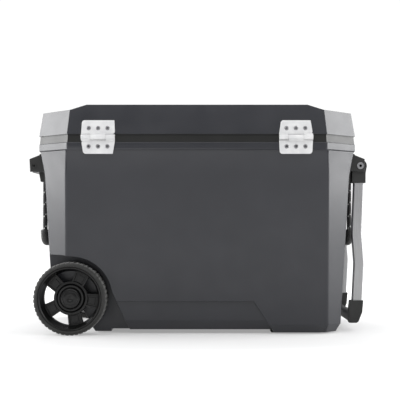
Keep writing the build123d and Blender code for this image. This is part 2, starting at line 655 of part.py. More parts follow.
grip_corners = [(-ROPE_Y, GRIP_TOP), (-ROPE_Y, GRIP_Z), (ROPE_Y, GRIP_Z), (ROPE_Y, GRIP_TOP)]
with BuildPart() as rope_grip:
    with BuildLine(Plane.YZ.offset(ROPE_X)):
        FilletPolyline(*grip_corners, radius=GRIP_BEND)
    with BuildSketch(Plane((ROPE_X, -ROPE_Y, GRIP_TOP), z_dir=(0, 0, -1))):
        Circle(GRIP_R)
        Circle(ROPE_R, mode=Mode.SUBTRACT)
    sweep()

for side, name in ((1, "right"), (-1, "left")):
    for piece, title in ((bracket, "handle_bracket_"), (rope_anchors, "rope_anchors_"), (rope, "handle_rope_"),
                         (rope_grip, "rope_grip_")):
        with BuildPart() as placed:
            add(piece.part if side > 0 else mirror(piece.part, about=Plane.YZ, mode=Mode.PRIVATE))
            if piece is bracket:
                add(screw_ways(bracket_screw_planes(side), BRACKET + 2), mode=Mode.SUBTRACT)
        save(placed, title + name)
    heads = screws(bracket_screw_planes(side), SCREW_HEAD_R, SCREW_HEAD, BRACKET + SCREW_BITE)
    save(heads, "bracket_screws_" + name)

# ---- tow handle -----------------------------------------------------------------------------
arm_line = [(354.5, 332), (349.5, 215), (354.2, 149), (349.0, 52)]


def arm_outline(width):
    """A side view of the cranked tube: a band of even width along its centre line."""
    with BuildSketch(Plane.XZ) as outline:
        with BuildLine():
            FilletPolyline(*arm_line, radius=60)
        trace(line_width=width)
    return outline.sketch


with BuildPart() as arm_form:
    extrude(arm_outline(ARM_SIZE), amount=ARM_SIZE / 2, both=True)
with BuildPart() as arm_bore:
    extrude(arm_outline(ARM_SIZE - 2 * ARM_WALL), amount=ARM_SIZE / 2 - ARM_WALL, both=True)

for y, name in ((-ARM_Y, "back"), (ARM_Y, "front")):
    with BuildPart() as tow_arm:
        with Locations((0, y, 0)):
            add(arm_form.part)
            add(arm_bore.part, mode=Mode.SUBTRACT)
    save(tow_arm, "tow_arm_" + name)
    with BuildPart() as tow_socket:
        # an eye on the pivot and a sleeve over the top of the arm
        with BuildSketch(Plane.XZ.offset(-y - SOCKET_HALF)):
            with Locations((PIVOT_X, PIVOT_Z)):
                Circle(15)
            Polygon((341.6, 362), (371.4, 362), (368.8, 345), (368.8, 324), (338.6, 324), (338.6, 345),
                    align=None)
        extrude(amount=2 * SOCKET_HALF)
        with Locations((0, y, 0)):
            add(arm_form.part, mode=Mode.SUBTRACT)
        add(pivot_bore(PIVOT_R + RUNNING), mode=Mode.SUBTRACT)
    save(tow_socket, "tow_socket_" + name)
    inner, outer = (HOUSING_Y - 14, EAR_OUT + PIVOT_HEAD)
    with BuildPart() as tow_pivot:
        # a hollow pin with a flat head outside the ear
        start = -outer if y < 0 else inner
        with BuildSketch(Plane.XZ.offset(-start)):
            with Locations((PIVOT_X, PIVOT_Z)):
                Circle(PIVOT_R)
        extrude(amount=-(outer - inner))
        head = -outer if y < 0 else EAR_OUT
        with BuildSketch(Plane.XZ.offset(-head)):
            with Locations((PIVOT_X, PIVOT_Z)):
                Circle(PIVOT_R + 2)
        extrude(amount=-(outer - EAR_OUT))
        add(pivot_bore(PIVOT_BORE_R), mode=Mode.SUBTRACT)
    save(tow_pivot, "tow_pivot_" + name)

# the other bracket has a bush in each ear, where a strap or a lock goes through
with BuildPart() as strap_bushes:
    with BuildSketch(Plane.XZ.offset(EAR_IN)):
        with Locations((-PIVOT_X, PIVOT_Z)):
            Circle(PIVOT_R)
            Circle(PIVOT_BORE_R, mode=Mode.SUBTRACT)
    extrude(amount=EAR_OUT + PIVOT_HEAD - EAR_IN)
    mirror(about=Plane.XZ)
save(strap_bushes, "strap_bushes")

with BuildPart() as tow_grip:
    for y in (-ARM_Y, ARM_Y):
        with BuildSketch(Plane.XZ.offset(-y - SOCKET_HALF)):
            Polygon((334.5, GRIP_END_TOP), (363.0, GRIP_END_TOP), (360.5, 42), (352.0, 21),
                    (347.5, GRIP_BOTTOM), (332.5, GRIP_BOTTOM), (331.5, 42), align=None)
        extrude(amount=2 * SOCKET_HALF)
    with BuildSketch(Plane.XZ.offset(-ARM_Y)):
        with Locations((341.5, 30.0)):
            RectangleRounded(19, 23, 7)
    extrude(amount=2 * ARM_Y)
    for y in (-ARM_Y, ARM_Y):
        with Locations((0, y, 0)):
            add(arm_form.part, mode=Mode.SUBTRACT)
save(tow_grip, "tow_grip")

# ---- wheels ---------------------------------------------------------------------------------
with BuildPart() as axle:
    with BuildSketch(Plane.XZ):
        with Locations((WHEEL_X, WHEEL_R)):
            Circle(AXLE_R)
    extrude(amount=AXLE_END, both=True)
save(axle, "axle")

def wheel_disc(side, start, end, radius, inner=0.0):
    """A disc or ring about the axle between two distances from the cooler's middle."""
    with BuildPart() as ring:
        with BuildSketch(Plane.XZ.offset(-side * start)):
            with Locations((WHEEL_X, WHEEL_R)):
                Circle(radius)
                if inner:
                    Circle(inner, mode=Mode.SUBTRACT)
        extrude(amount=-side * (end - start))
    return ring.part


for side, name in ((-1, "back"), (1, "front")):
    with BuildPart() as wheel_rim:
        add(wheel_disc(side, WHEEL_IN + 1, WHEEL_OUT - 2, RIM_R, DISH_R))
        add(wheel_disc(side, SPOKE_FACE - SPOKE_DEPTH, SPOKE_FACE, DISH_R + 1, AXLE_R + 1))
        add(wheel_disc(side, WHEEL_IN, SPOKE_FACE + 6, HUB_R))
        # openings between the spokes
        with BuildSketch(Plane.XZ.offset(-side * (SPOKE_FACE - SPOKE_DEPTH - 1))) as openings:
            with Locations((WHEEL_X, WHEEL_R)):
                Circle(DISH_R)
                Circle(HUB_RING_R, mode=Mode.SUBTRACT)
                with PolarLocations(0, SPOKES):
                    with Locations((DISH_R / 2 + 10, 0)):
                        Rectangle(DISH_R + 20, SPOKE_WIDTH, mode=Mode.SUBTRACT)
        extrude(amount=-side * (SPOKE_DEPTH + 2), mode=Mode.SUBTRACT)
        # sunk faces of the spokes
        with BuildSketch(Plane.XZ.offset(-side * (SPOKE_FACE - 4))):
            with Locations((WHEEL_X, WHEEL_R)):
                with PolarLocations(0, SPOKES):
                    with Locations((44, 0)):
                        Rectangle(18, SPOKE_WIDTH - 9)
        extrude(amount=-side * 5, mode=Mode.SUBTRACT)
        add(wheel_disc(side, WHEEL_IN - 1, WHEEL_OUT, AXLE_R + RUNNING), mode=Mode.SUBTRACT)
        add(wheel_disc(side, SPOKE_FACE + 1, WHEEL_OUT, CAP_SEAT_R), mode=Mode.SUBTRACT)
    save(wheel_rim, "wheel_rim_" + name)

    with BuildPart() as wheel_tyre:
        add(wheel_disc(side, WHEEL_IN + 1, WHEEL_OUT, WHEEL_R, RIM_R))
        chamfer(wheel_tyre.edges().filter_by(GeomType.CIRCLE).filter_by(lambda e: e.radius > RIM_R + 1), 3)
    save(wheel_tyre, "wheel_tyre_" + name)

    with BuildPart() as hub_cap:
        add(wheel_disc(side, SPOKE_FACE + 1, CAP_FACE, CAP_SEAT_R))
        add(wheel_disc(side, SPOKE_FACE, CAP_FACE - 3, CAP_SEAT_R - 4), mode=Mode.SUBTRACT)
        outer_face = hub_cap.faces().sort_by(Axis.Y)[-1 if side > 0 else 0]
        fillet(outer_face.edges(), 2.5)
    save(hub_cap, "hub_cap_" + name)

for title, start, end, radius in (
    ("axle_retainers", SPOKE_FACE + 1.4, SPOKE_FACE + 3.4, 13.0), ("axle_spacers", WELL_WALL, WHEEL_IN - 0.3, 15.0),
):
    with BuildPart() as axle_rings:
        with BuildSketch(Plane.XZ.offset(start)):
            with Locations((WHEEL_X, WHEEL_R)):
                Circle(radius)
                Circle(AXLE_R, mode=Mode.SUBTRACT)
        extrude(amount=end - start)
        mirror(about=Plane.XZ)
    save(axle_rings, title)

# ---- feet -----------------------------------------------------------------------------------
with BuildPart() as foot_pads:
    for y in (-FOOT_Y, FOOT_Y):
        with BuildSketch(Plane.XY):
            with Locations((FOOT_X, y)):
                RectangleRounded(FOOT_LENGTH, FOOT_WIDTH, 8)
        extrude(amount=BODY_BOTTOM)
        with BuildSketch(Plane.XY):
            with Locations(*[(x, y) for x in FOOT_SCREWS_X]):
                Circle(5.2)
        extrude(amount=BODY_BOTTOM - FOOT_SEAT, mode=Mode.SUBTRACT)
    add(screw_ways(foot_screw_planes(), 3), mode=Mode.SUBTRACT)
save(foot_pads, "foot_pads")
save(screws(foot_screw_planes(), FOOT_HEAD_R, FOOT_HEAD, FOOT_SEAT + SCREW_BITE), "foot_screws")

# ---- drain ----------------------------------------------------------------------------------
def drain_disc(start, end, radius, inner=0.0):
    """A disc or ring about the drain's axis between two distances from the middle."""
    with BuildPart() as ring:
        with BuildSketch(Plane.YZ.offset(start)):
            with Locations((0, DRAIN_Z)):
                Circle(radius)
                if inner:
                    Circle(inner, mode=Mode.SUBTRACT)
        extrude(amount=end - start)
    return ring.part


with BuildPart() as drain_spout:
    add(drain_disc(DRAIN_INSIDE, DRAIN_POCKET_X + 2, SPOUT_R, SPOUT_BORE))
    add(drain_disc(DRAIN_POCKET_X, DRAIN_POCKET_X + 2, CAP_R, SPOUT_BORE))
save(drain_spout, "drain_spout")

with BuildPart() as drain_seal:
    add(drain_disc(DRAIN_POCKET_X + 2, DRAIN_POCKET_X + 3.5, 11.0, 8.0))
save(drain_seal, "drain_seal")

with BuildPart() as drain_cap:
    add(drain_disc(DRAIN_POCKET_X + 3.5, DRAIN_POCKET_X + 9, CAP_R))
    add(drain_disc(DRAIN_INSIDE, DRAIN_POCKET_X + 3.5, SPOUT_BORE - 0.5))
    with BuildSketch(Plane.YZ.offset(DRAIN_POCKET_X + 9)):
        with Locations((0, DRAIN_Z)):
            RectangleRounded(22, 7, 3)
    extrude(amount=5)
    with BuildSketch(Plane.YZ.offset(DRAIN_POCKET_X + 3.5)):
        with Locations((0, DRAIN_Z)):
            with PolarLocations(CAP_R + 0.6, 12):
                Circle(1.6)
    extrude(amount=5.5, mode=Mode.SUBTRACT)
save(drain_cap, "drain_cap")
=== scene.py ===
import bpy
import bmesh
import json
from math import cos, degrees, pi, radians, sin, tau
from mathutils import Matrix, Vector

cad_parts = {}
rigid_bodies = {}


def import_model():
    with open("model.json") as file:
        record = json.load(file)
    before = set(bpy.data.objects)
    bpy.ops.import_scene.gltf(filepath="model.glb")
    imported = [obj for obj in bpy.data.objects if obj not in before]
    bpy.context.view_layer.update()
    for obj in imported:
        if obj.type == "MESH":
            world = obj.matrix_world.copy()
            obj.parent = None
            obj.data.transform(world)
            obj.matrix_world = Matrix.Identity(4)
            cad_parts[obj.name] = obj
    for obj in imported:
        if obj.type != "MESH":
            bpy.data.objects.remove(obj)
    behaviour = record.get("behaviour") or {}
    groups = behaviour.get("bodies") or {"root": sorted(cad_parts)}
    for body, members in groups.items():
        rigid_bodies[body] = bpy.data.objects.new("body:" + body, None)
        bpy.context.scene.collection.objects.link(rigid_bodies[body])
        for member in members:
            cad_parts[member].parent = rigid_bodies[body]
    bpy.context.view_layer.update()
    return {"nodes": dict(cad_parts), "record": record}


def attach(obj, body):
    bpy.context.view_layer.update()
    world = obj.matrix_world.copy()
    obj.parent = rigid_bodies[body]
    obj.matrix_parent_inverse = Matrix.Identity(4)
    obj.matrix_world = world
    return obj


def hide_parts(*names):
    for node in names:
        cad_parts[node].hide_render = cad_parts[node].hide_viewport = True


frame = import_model()
MM = 0.001

RECORD = frame["record"]
SLOT_OF = {row["node"]: row["material_slot"] for row in RECORD["subparts"]}
BODY_OF = {node: body for body, nodes in RECORD["behaviour"]["bodies"].items() for node in nodes}
HINGE_POINT = {joint["name"]: Vector(joint["pos_m"]) / MM
               for joint in RECORD["behaviour"]["joints"] if "pos_m" in joint}

# ---- places, in millimetres ---------------------------------------------------------------------
AXLE = HINGE_POINT["wheel_back_spin"]
WHEEL_R = AXLE.z
WHEEL_OUT, RIM_R = 214.0, 67.5               # outer face of a wheel, from the middle of the cooler
SPOKE_FACE, SPOKE_DEPTH, SPOKES, SPOKE_WIDTH, SPOKE_TURN = 187.0, 13.0, 5, 27.0, -7.0
ROPE_X, ROPE_R = 340.0, 5.25
ROPE_LENGTH = 416.5
GRIP_TOP, GRIP_R = 222.0, 10.0
ARM_Y, ARM_HALF = 116.0, 10.5


# ---- camera and light ---------------------------------------------------------------------------
LENS, SENSOR = 90.0, 36.0
CAMERA_PLACE, CAMERA_TILT = (0.0063, -2.315, 0.2428), 1.15
FILL, LEFT_LIGHT, RIGHT_LIGHT, TOP_LIGHT, CEILING_LIGHT = 0.38, 7.6, 7.0, 2.5, 3.0


def make_camera():
    """The camera stands level with the middle of the hinge side and looks along +Y."""
    data = bpy.data.cameras.new("camera")
    data.lens, data.sensor_width = LENS, SENSOR
    camera = bpy.data.objects.new("camera", data)
    camera.location = CAMERA_PLACE
    camera.rotation_euler = (radians(90 + CAMERA_TILT), 0, 0)
    bpy.context.collection.objects.link(camera)
    bpy.context.scene.camera = camera


def area_light(name, place, target, size, radiance):
    """A soft rectangular light that faces a point, given by how bright its face is."""
    data = bpy.data.lights.new(name, "AREA")
    data.shape, data.size, data.size_y = "RECTANGLE", size[0], size[1]
    data.energy = radiance * pi * size[0] * size[1]
    light = bpy.data.objects.new(name, data)
    light.location = place
    light.rotation_euler = (Vector(target) - Vector(place)).to_track_quat("-Z", "Y").to_euler()
    bpy.context.collection.objects.link(light)


def make_studio():
    """A white room: a pale floor, a soft ceiling and a tall soft light at each end."""
    world = bpy.data.worlds.new("studio")
    world.use_nodes = True
    nodes, links = world.node_tree.nodes, world.node_tree.links
    backdrop = nodes["Background"]
    backdrop.inputs["Color"].default_value = (1, 1, 1, 1)
    backdrop.inputs["Strength"].default_value = 1.05
    fill = nodes.new("ShaderNodeBackground")
    fill.inputs["Color"].default_value = (0.97, 0.98, 1.0, 1)
    fill.inputs["Strength"].default_value = FILL
    seen, either = nodes.new("ShaderNodeLightPath"), nodes.new("ShaderNodeMixShader")
    links.new(seen.outputs["Is Camera Ray"], either.inputs["Fac"])
    links.new(fill.outputs[0], either.inputs[1])
    links.new(backdrop.outputs[0], either.inputs[2])
    links.new(either.outputs[0], nodes["World Output"].inputs["Surface"])
    bpy.context.scene.world = world
    bpy.context.scene.view_settings.view_transform = "Standard"
    for side, name, radiance in ((-1, "left", LEFT_LIGHT), (1, "right", RIGHT_LIGHT)):
        area_light("end_light_" + name, (side * 1.9, 0.05, 0.95), (0, 0.05, 0.55), (1.7, 1.5), radiance)
    area_light("hinge_side_light", (0, -1.7, 2.2), (0, 0, 0.4), (3.4, 1.1), TOP_LIGHT)
    area_light("ceiling_light", (0, 1.4, 2.4), (0, 0.1, 0.45), (3.4, 2.0), CEILING_LIGHT)

    floor = bmesh.new()
    bmesh.ops.create_grid(floor, x_segments=1, y_segments=1, size=9)
    mesh = bpy.data.meshes.new("floor")
    floor.to_mesh(mesh)
    floor.free()
    plane = bpy.data.objects.new("floor", mesh)
    bpy.context.collection.objects.link(plane)
    mesh.materials.append(floor_finish())


# ---- shader maths -------------------------------------------------------------------------------
class Value:
    """One socket of a shader, with the arithmetic that the materials use."""

    def __init__(self, finish, socket):
        self.finish, self.socket = finish, socket

    def maths(self, operation, *others, swap=False):
        terms = [self, *others]
        if swap:
            terms = terms[::-1]
        return self.finish.node("ShaderNodeMath", {"operation": operation}, dict(enumerate(terms)))[0]

    def __add__(self, other):
        return self.maths("ADD", other)

    def __sub__(self, other):
        return self.maths("SUBTRACT", other)

    def __mul__(self, other):
        return self.maths("MULTIPLY", other)

    def __rsub__(self, other):
        return self.maths("SUBTRACT", other, swap=True)

    __radd__, __rmul__ = __add__, __mul__

    def fraction(self):
        return self.maths("FRACT")

    def whole(self):
        return self.maths("FLOOR")

    def larger(self, other):
        return self.maths("MAXIMUM", other)

    def over(self, other):
        """1 where this is greater, and 0 elsewhere."""
        return self.maths("GREATER_THAN", other)

    def hump(self):
        """Carries 0..1 over to a hump that is 1 at a half and 0 at both ends."""
        return (self * pi).maths("SINE")


class Finish:
    """A material under construction: one shader, and one method that adds any other node."""

    def __init__(self, name, colour, roughness, **fixed):
        self.material = bpy.data.materials.new(name)
        self.material.use_nodes = True
        self.nodes, self.links = self.material.node_tree.nodes, self.material.node_tree.links
        self.shader = self.nodes["Principled BSDF"]
        self.set("Base Color", colour)
        self.set("Roughness", roughness)
        for socket, value in fixed.items():
            self.set(socket.replace("_", " "), value)

    def node(self, kind, settings=None, inputs=None):
        """Adds a node and returns its outputs."""
        made = self.nodes.new(kind)
        for key, value in (settings or {}).items():
            setattr(made, key, value)
        for key, value in (inputs or {}).items():
            self.connect(made.inputs[key], value)
        return [Value(self, socket) for socket in made.outputs if socket.enabled]

    def connect(self, socket, value):
        if isinstance(value, Value):
            self.links.new(value.socket, socket)
        elif socket.type == "RGBA":
            socket.default_value = colour_of(value)
        else:
            socket.default_value = value

    def set(self, name, value):
        self.connect(self.shader.inputs[name], value)

    def place(self, scale=(1, 1, 1)):
        """Object coordinates, stretched along the axes."""
        here = self.node("ShaderNodeTexCoord")
        coordinates = next(value for value in here if value.socket.name == "Object")
        if scale == (1, 1, 1):
            return coordinates
        return self.node("ShaderNodeMapping", None, {"Vector": coordinates, "Scale": scale})[0]

    def noise(self, scale, detail=2.0, stretch=(1, 1, 1), roughness=0.5):
        return self.node("ShaderNodeTexNoise", None, {
            "Vector": self.place(stretch), "Scale": scale, "Detail": detail, "Roughness": roughness})[0]

    def blend(self, factor, first, second):
        """A colour between two colours."""
        mixed = self.node("ShaderNodeMix", {"data_type": "RGBA"}, {"Factor": factor, 6: first, 7: second})
        return next(value for value in mixed if value.socket.type == "RGBA")

    def range(self, value, low, high, new_low, new_high):
        """Carries low..high over to new_low..new_high, and stops at both ends."""
        return self.node("ShaderNodeMapRange", None, {
            0: value, 1: low, 2: high, 3: new_low, 4: new_high})[0]

    def bump(self, height, depth, strength=1.0):
        """Bumps of a real depth in metres."""
        self.set("Normal", self.node("ShaderNodeBump", None, {
            "Strength": strength, "Distance": depth, "Height": height})[0])


def colour_of(value):
    """Four numbers for a colour given as one grey or three numbers."""
    if isinstance(value, (int, float)):
        value = (value, value, value)
    return (*value[:3], 1.0)


# ---- finishes -----------------------------------------------------------------------------------
NEAR_FLOOR, FAR_FLOOR = 0.55, 1.3            # where the floor's glow starts and where it is full
FLOOR_GLOW, FAR_GLOW = 0.32, 0.95


def floor_finish():
    """Matt white paper that glows far from the cooler, so that no horizon shows."""
    finish = Finish("floor_paper", 0.44, 0.8, Emission_Strength=1.0, Specular_IOR_Level=0.1)
    finish.set("Base Color", finish.blend(finish.noise(3.0), 0.43, 0.45))
    away = finish.node("ShaderNodeVectorMath", {"operation": "LENGTH"}, {0: finish.place((1, 1.3, 1))})[0]
    glow = finish.range(away, NEAR_FLOOR, FAR_FLOOR, 0, 1)
    finish.set("Emission Color", finish.blend(glow, FLOOR_GLOW, FAR_GLOW))
    return finish.material


def moulded_plastic(name, dark, light, roughness, grain=2200.0, depth=0.00004, **fixed):
    """Moulded plastic: a fine spark-eroded grain, faint flow clouds and slightly uneven gloss."""
    finish = Finish(name, dark, roughness, **fixed)
    clouds = finish.noise(9.0, 3.0)
    finish.set("Base Color", finish.blend(finish.range(clouds, 0.35, 0.65, 0, 1), dark, light))
    patches = finish.noise(26.0, 4.0)
    finish.set("Roughness", finish.range(patches, 0.3, 0.7, roughness - 0.04, roughness + 0.05))
    fine = finish.noise(grain, 2.0)
    coarse = finish.noise(grain / 4, 2.0)
    finish.bump(fine * 0.6 + coarse * 0.4, depth)
    return finish.material


def rubber(name, dark, light, roughness=0.75):
    """Moulded rubber with a dusty bloom and a coarse soft grain."""
    finish = Finish(name, dark, roughness, Specular_IOR_Level=0.35)
    dust = finish.range(finish.noise(45.0, 5.0, roughness=0.65), 0.4, 0.7, 0, 1)
    finish.set("Base Color", finish.blend(dust, dark, light))
    finish.set("Roughness", finish.range(dust, 0, 1, roughness - 0.08, roughness + 0.12))
    finish.bump(finish.noise(900.0, 3.0), 0.00008)
    return finish.material


def tyre_rubber():
    """Tyre rubber that is greyer where the tread meets the ground and black in its grooves."""
    finish = Finish("tyre_rubber", 0.05, 0.7, Specular_IOR_Level=0.4)
    from_axle = finish.node("ShaderNodeVectorMath", {"operation": "SUBTRACT"},
                            {0: finish.place(), 1: tuple(Vector((AXLE.x, 0, AXLE.z)) * MM)})[0]
    flat = finish.node("ShaderNodeVectorMath", {"operation": "MULTIPLY"}, {0: from_axle, 1: (1, 0, 1)})[0]
    radius = finish.node("ShaderNodeVectorMath", {"operation": "LENGTH"}, {0: flat})[0]
    worn = finish.range(radius, (WHEEL_R - 2.6) * MM, (WHEEL_R - 0.4) * MM, 0, 1)
    scuffs = finish.range(finish.noise(60.0, 5.0, roughness=0.7), 0.35, 0.65, 0.5, 1)
    finish.set("Base Color", finish.blend(worn * scuffs, (0.022, 0.022, 0.021), (0.13, 0.13, 0.127)))
    finish.set("Roughness", finish.range(scuffs, 0.5, 1, 0.62, 0.82))
    finish.bump(finish.noise(700.0, 4.0), 0.0001)
    return finish.material


def brushed_metal(name, colour, roughness, along, scratches=0.00002):
    """Metal with fine lines along one axis; along holds how dense they lie on each axis."""
    finish = Finish(name, colour, roughness, Metallic=1.0)
    lines = finish.noise(1.0, 4.0, along, 0.6)
    smudges = finish.noise(14.0, 3.0)
    darker = tuple(channel * 0.82 for channel in colour)
    finish.set("Base Color", finish.blend(finish.range(lines, 0.3, 0.7, 0, 1), darker, colour))
    finish.set("Roughness", finish.range(smudges, 0.3, 0.7, roughness - 0.05, roughness + 0.08))
    finish.bump(lines, scratches)
    return finish.material


def satin_white(name):
    """White powder coat with orange peel."""
    finish = Finish(name, 0.8, 0.34, Coat_Weight=0.15)
    peel = finish.range(finish.noise(60.0, 3.0), 0.4, 0.62, 0, 1)
    finish.set("Base Color", finish.blend(peel, (0.60, 0.60, 0.605), (0.66, 0.66, 0.66)))
    finish.bump(finish.noise(700.0, 2.0), 0.00006)
    return finish.material


BRAID_STRANDS, BRAID_PITCH = 6, 27.0         # strands each way round, and millimetres of rope in one turn
BRAID_PITCH_TURNS = ROPE_LENGTH / BRAID_PITCH


def braided_rope():
    """Black braid, every strand a bundle of fine yarns, with one light tracer strand; the crowns of strands
    and yarns are painted lighter and the gaps between them darker, as painted highlight and painted shade.
    """
    finish = Finish("rope_braid", 0.02, 0.75, Specular_IOR_Level=0.3)
    where = finish.node("ShaderNodeUVMap", {"uv_map": "UVMap"})[0]
    axes = finish.node("ShaderNodeSeparateXYZ", None, {0: where})
    around, along = axes[0], axes[1]
    turns = along * BRAID_PITCH_TURNS
    right, left = (around + turns) * BRAID_STRANDS, (around - turns) * BRAID_STRANDS
    right_over = ((right.whole() + left.whole()) * 0.5).fraction().over(0.25)
    tracer = (((right * (1 / BRAID_STRANDS)).fraction() * BRAID_STRANDS).over(BRAID_STRANDS - 1)) * right_over
    yarn_right = (left * 4.0).fraction().hump()
    yarn_left = (right * 4.0).fraction().hump()
    yarns = yarn_right * right_over + yarn_left * (1 - right_over)
    crown = (right.fraction().hump() * right_over).larger(left.fraction().hump() * (1 - right_over))
    # painted highlight on the crowns of strands and yarns and painted shade in the gaps between them, for the
    # black strands and the grey tracer alike
    painted_strand_light_and_shade = finish.range(crown * 0.7 + yarns * 0.3, 0.1, 1.0, 0, 1)
    black = finish.blend(painted_strand_light_and_shade, (0.006, 0.006, 0.006), (0.028, 0.028, 0.029))
    grey = finish.blend(painted_strand_light_and_shade, (0.16, 0.16, 0.16), (0.50, 0.50, 0.49))
    finish.set("Base Color", finish.blend(tracer, black, grey))
    finish.bump(crown * 0.6 + yarns * 0.4, 0.0003)
    return finish.material


FINISHES = {
    "shell": moulded_plastic("shell_plastic", (0.0165, 0.0175, 0.0220), (0.0190, 0.0200, 0.0250), 0.34),
    "liner": moulded_plastic("liner_plastic", (0.58, 0.59, 0.60), (0.63, 0.64, 0.65), 0.38, depth=0.00001),
    "tray": moulded_plastic("tray_plastic", (0.0075, 0.0075, 0.007), (0.0095, 0.0095, 0.009), 0.40,
                            Specular_IOR_Level=0.4),
    "foam": rubber("foam_fill", (0.70, 0.64, 0.42), (0.78, 0.73, 0.52), 0.9),
    "seal": rubber("seal_rubber", (0.020, 0.020, 0.020), (0.040, 0.040, 0.040), 0.6),
    "hinge_metal": satin_white("hinge_coat"),
    "steel": brushed_metal("screw_steel", (0.30, 0.30, 0.31), 0.45, (300, 300, 300)),
    "trim": moulded_plastic("trim_plastic", (0.014, 0.014, 0.0135), (0.018, 0.018, 0.0175), 0.46,
                            depth=0.00006,
                            Specular_IOR_Level=0.4),
    "wheel": moulded_plastic("wheel_plastic", (0.0035, 0.0035, 0.0035), (0.005, 0.005, 0.005),
                             0.30, depth=0.00003,
                             Specular_IOR_Level=0.35),
    "tyre": tyre_rubber(),
    "aluminium": brushed_metal("arm_aluminium", (0.42, 0.42, 0.425), 0.36, (900, 900, 14)),
    "grip": rubber("grip_rubber", (0.020, 0.020, 0.020), (0.034, 0.034, 0.033), 0.55),
    "foot": rubber("foot_rubber", (0.022, 0.022, 0.022), (0.040, 0.040, 0.040), 0.8),
    "rope": braided_rope(),
}


# ---- making pieces ------------------------------------------------------------------------------
def finished(name, shape, node, replaced=(), angle=32, weighted=True):
    """Turns a bmesh into a piece with the finish of a CAD node's slot and the node's body, and hides that
    node and any others given, which it stands for.
    """
    mesh = bpy.data.meshes.new(name)
    shape.to_mesh(mesh)
    shape.free()
    mesh.shade_smooth()
    mesh.set_sharp_from_angle(angle=radians(angle))
    mesh.materials.append(FINISHES[SLOT_OF[node]])
    piece = bpy.data.objects.new(name, mesh)
    bpy.context.collection.objects.link(piece)
    if weighted:
        flats = piece.modifiers.new("flats", "WEIGHTED_NORMAL")
        flats.keep_sharp = True
    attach(piece, BODY_OF[node])
    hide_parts(node, *replaced)
    return piece


def merged(node, close=0.02):
    """A copy of a CAD piece whose loose triangles are joined into whole flat faces."""
    shape = bmesh.new()
    shape.from_mesh(frame["nodes"][node].data)
    bmesh.ops.remove_doubles(shape, verts=shape.verts, dist=close * MM)
    bmesh.ops.dissolve_degenerate(shape, dist=close * MM, edges=shape.edges)
    bmesh.ops.dissolve_limit(shape, angle_limit=radians(0.4), use_dissolve_boundaries=False,
                             verts=shape.verts, edges=shape.edges, delimit={"NORMAL"})
    return shape


def sharp_edges(shape, least, most=180.0, longer=0.0, where=None):
    """Edges that turn by so many degrees, are so long, and whose middle is at the right place."""
    chosen = []
    for edge in shape.edges:
        if edge.calc_length() < longer * MM or not least <= degrees(edge.calc_face_angle(0)) <= most:
            continue
        if where is None or where((edge.verts[0].co + edge.verts[1].co) / (2 * MM)):
            chosen.append(edge)
    return chosen


def with_room(edges, room):
    """Those of the edges whose neighbours are all long enough to give way to a rounding."""
    chosen = set(edges)
    return [edge for edge in edges
            if all(near in chosen or near.calc_length() > room * MM
                   for corner in edge.verts for near in corner.link_edges)]


def round_off(shape, edges, width, segments=2, clamp=True):
    """Rounds edges off."""
    bmesh.ops.bevel(shape, geom=edges, offset=width * MM, offset_type="OFFSET", segments=segments,
                    profile=0.5, affect="EDGES", clamp_overlap=clamp, material=-1)


def softened(node, width, least=25.0, close=0.02, segments=2):
    """A copy of a small CAD piece with its sharp edges rounded."""
    shape = merged(node, close)
    round_off(shape, with_room(sharp_edges(shape, least, longer=1.2 * width), 1.1 * width), width, segments)
    return finished(node + "_soft", shape, node)


def upright(edge):
    """Whether an edge runs mostly up and down."""
    return abs((edge.verts[0].co - edge.verts[1].co).normalized().z) > 0.8


def turned(profile, steps, at, side):
    """A solid of revolution about the wheels' axis from points (radius, distance from the middle)."""
    shape = bmesh.new()
    ring = [shape.verts.new((radius * MM, 0, 0)) for radius, _ in profile]
    for corner, (_, out) in zip(ring, profile):
        corner.co.y = side * out * MM
    edges = [shape.edges.new(pair) for pair in zip(ring, ring[1:] + ring[:1])]
    bmesh.ops.spin(shape, geom=ring + edges, cent=(0, 0, 0), axis=(0, 1, 0), angle=tau, steps=steps,
                   use_merge=True)
    bmesh.ops.remove_doubles(shape, verts=shape.verts, dist=0.01 * MM)
    bmesh.ops.recalc_face_normals(shape, faces=shape.faces)
    bmesh.ops.translate(shape, verts=shape.verts, vec=(at[0] * MM, 0, at[1] * MM))
    return shape


# ---- body and lid -------------------------------------------------------------------------------
def make_shell(node, facet, edge_width):
    """The outer skin of the body or lid: wide soft facet edges, and every other edge just broken."""
    shape = merged(node, 0.4)
    facets = [edge for edge in sharp_edges(shape, 25, 60, longer=12) if upright(edge)]
    round_off(shape, facets, facet, 3)
    others = with_room(sharp_edges(shape, 14, 120, longer=2), 2.2 * edge_width)
    round_off(shape, others, edge_width, 2, clamp=False)
    finished(node + "_soft", shape, node, angle=34)


make_shell("body_shell", 4.0, 0.8)
make_shell("lid_shell", 3.5, 0.9)

# ---- small moulded and metal pieces ---------------------------------------------------------------
for name in ("left", "right"):
    softened("handle_bracket_" + name, 1.1)
    softened("hinge_lid_leaf_" + name, 0.6, 40)
    softened("hinge_body_leaf_" + name, 0.6, 40)
    softened("latch_mount_" + name, 0.7, 30)
    softened("latch_lever_" + name, 1.0, 22)
    softened("latch_keeper_" + name, 0.7, 40)
for name in ("back", "front"):
    softened("tow_socket_" + name, 1.4)
softened("tow_grip", 2.6, 30)
softened("drain_cap", 0.5, 40)
softened("foot_pads", 0.8, 50)


def make_arm(name):
    """One side of the tow handle: a square tube with rounded corners."""
    shape = merged("tow_arm_" + name)
    middle = HINGE_POINT["tow_handle_hinge"].y + (-ARM_Y if name == "back" else ARM_Y)
    outer = sharp_edges(shape, 60, 120, where=lambda at: abs(abs(at.y - middle) - ARM_HALF) < 0.2)
    outer = [edge for edge in outer if abs((edge.verts[0].co - edge.verts[1].co).normalized().y) < 0.2
             and upright(edge)]
    round_off(shape, outer, 2.2, 3)
    finished("tow_arm_tube_" + name, shape, "tow_arm_" + name)


make_arm("back")
make_arm("front")


